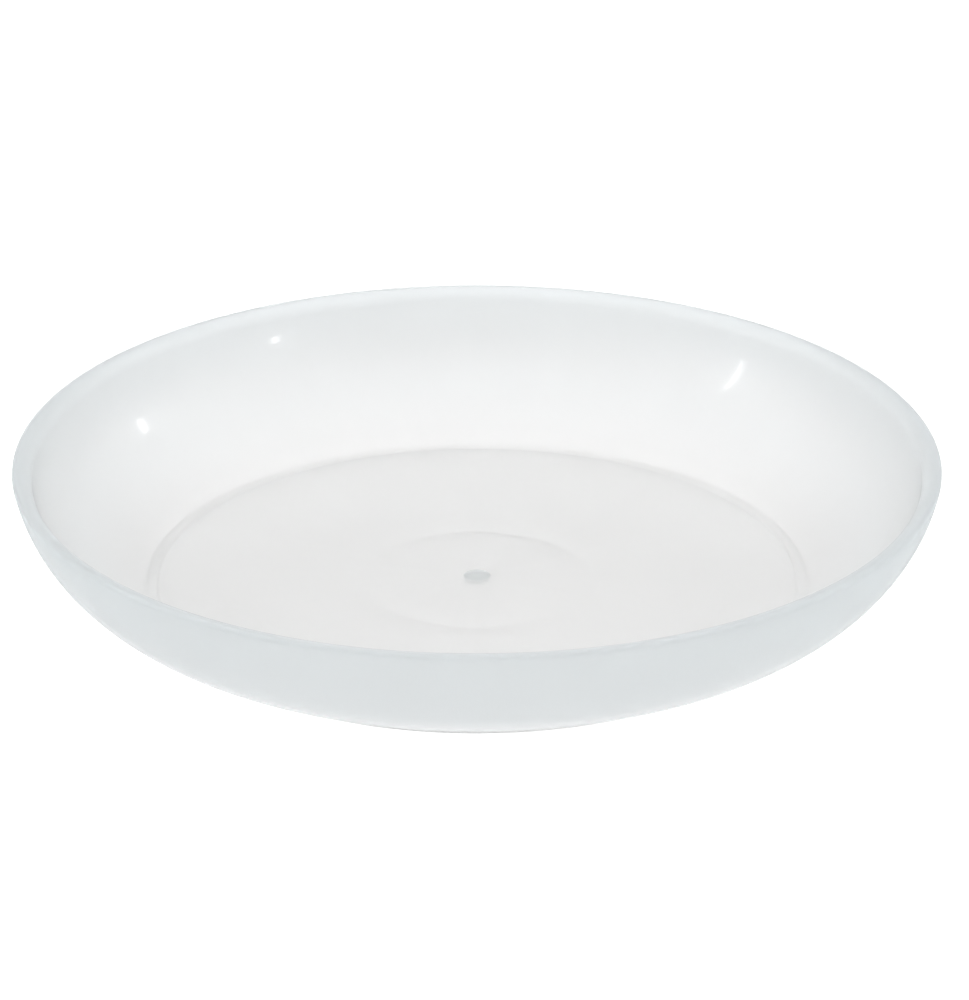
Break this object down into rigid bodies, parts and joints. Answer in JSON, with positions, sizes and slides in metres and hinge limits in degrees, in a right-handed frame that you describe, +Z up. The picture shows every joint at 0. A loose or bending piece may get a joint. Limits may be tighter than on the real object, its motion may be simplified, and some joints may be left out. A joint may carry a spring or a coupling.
{
  "type": "plant saucer",
  "caption": "Shallow round plant saucer in milky translucent plastic, with a flat floor, a wall that curves up and thickens to a rounded rim, and a low foot ring.",
  "frame": {"origin": "on the axis of the saucer, in the plane that its foot ring stands on", "axes": "+Z up along the axis of the saucer; X and Y are alike because it is round"},
  "size_m": [0.15, 0.15, 0.0233],
  "materials": {
    "milky_plastic": "milky translucent natural plastic with a cool tint, glossy inside and satin outside"
  },
  "bodies": {
    "root": {"saucer": "milky_plastic"}
  },
  "joints": []
}
